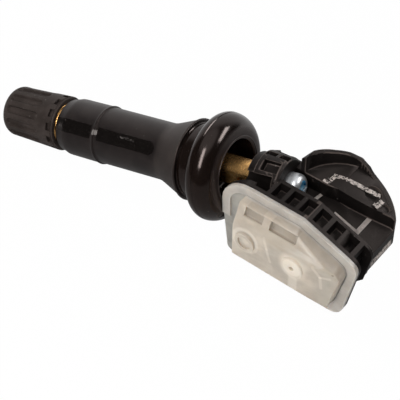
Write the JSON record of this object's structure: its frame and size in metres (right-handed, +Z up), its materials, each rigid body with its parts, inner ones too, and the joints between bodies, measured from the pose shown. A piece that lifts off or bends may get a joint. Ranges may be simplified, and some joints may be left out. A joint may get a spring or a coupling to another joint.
{
  "type": "tyre pressure sensor with snap-in valve",
  "caption": "Tyre pressure sensor on a snap-in rubber valve, with a screw cap, a brass tail and a ribbed sensor housing.",
  "frame": {"origin": "middle of the groove face that seats on the inside of the rim, on the valve axis", "axes": "+X along the sensor housing away from the valve, +Y away from the lid, +Z up out of the wheel well"},
  "size_m": [0.0762, 0.0212, 0.0237],
  "materials": {
    "cap_plastic": "dark grey-brown, fine matt grain",
    "stem_rubber": "black, satin on the stem and glossy on the bulb",
    "brass": "turned, bright",
    "core_brass": "turned",
    "seal_rubber": "matt",
    "core_seal_red": "red sealing ring",
    "spring_steel": "drawn wire",
    "housing_plastic": "black glass-filled moulding, fine grain",
    "lid_plastic": "natural, slightly see-through moulding",
    "zinc_steel": "zinc plated",
    "blue_paint": "blue locking paint",
    "board_green": "green solder mask",
    "cell_steel": "nickel-plated can",
    "tab_nickel": "nickel strip",
    "chip_black": "moulded package",
    "coil_copper": "lacquered winding",
    "capacitor_body": "ceramic",
    "gasket_grey": "soft grey silicone",
    "membrane_white": "white porous film"
  },
  "bodies": {
    "sensor": {"rubber_stem": "stem_rubber", "brass_insert": "brass", "core_plug": "core_brass", "core_barrel": "core_brass", "core_seal": "core_seal_red", "core_spring": "spring_steel", "housing": "housing_plastic", "lid": "lid_plastic", "clamp_screw": "zinc_steel", "screw_paint": "blue_paint", "circuit_board": "board_green", "coin_cell": "cell_steel", "cell_tab_plus": "tab_nickel", "cell_tab_minus": "tab_nickel", "sensor_chip": "chip_black", "crystal": "cell_steel", "wake_coil": "coil_copper", "loop_antenna": "tab_nickel", "chip_capacitors": "capacitor_body", "port_gasket": "gasket_grey", "port_membrane": "membrane_white"},
    "cap_carrier": {"cap_seal": "seal_rubber"},
    "cap": {"valve_cap": "cap_plastic"},
    "pin": {"core_pin": "core_brass", "core_poppet": "core_brass", "poppet_seal": "seal_rubber"}
  },
  "joints": [
    {"name": "cap_lift", "type": "slide", "parent": "sensor", "child": "cap_carrier", "axis": [-0.969, -0.1018, -0.225], "range_m": [0, 0.01]},
    {"name": "cap_turn", "type": "hinge", "parent": "cap_carrier", "child": "cap", "pos_m": [-0.03682, -0.00387, -0.00855], "axis": [-0.969, -0.1018, -0.225], "range_deg": [0, 4536]},
    {"name": "valve_pin", "type": "slide", "parent": "sensor", "child": "pin", "axis": [0.969, 0.1018, 0.225], "range_m": [0, 0.0012], "stiffness_N_per_m": 400, "springref_m": -0.002, "deforming": ["core_spring"]}
  ],
  "couplings": [
    {"joint": "cap_turn", "follows": "cap_lift", "rad_per_m": 7916}
  ]
}
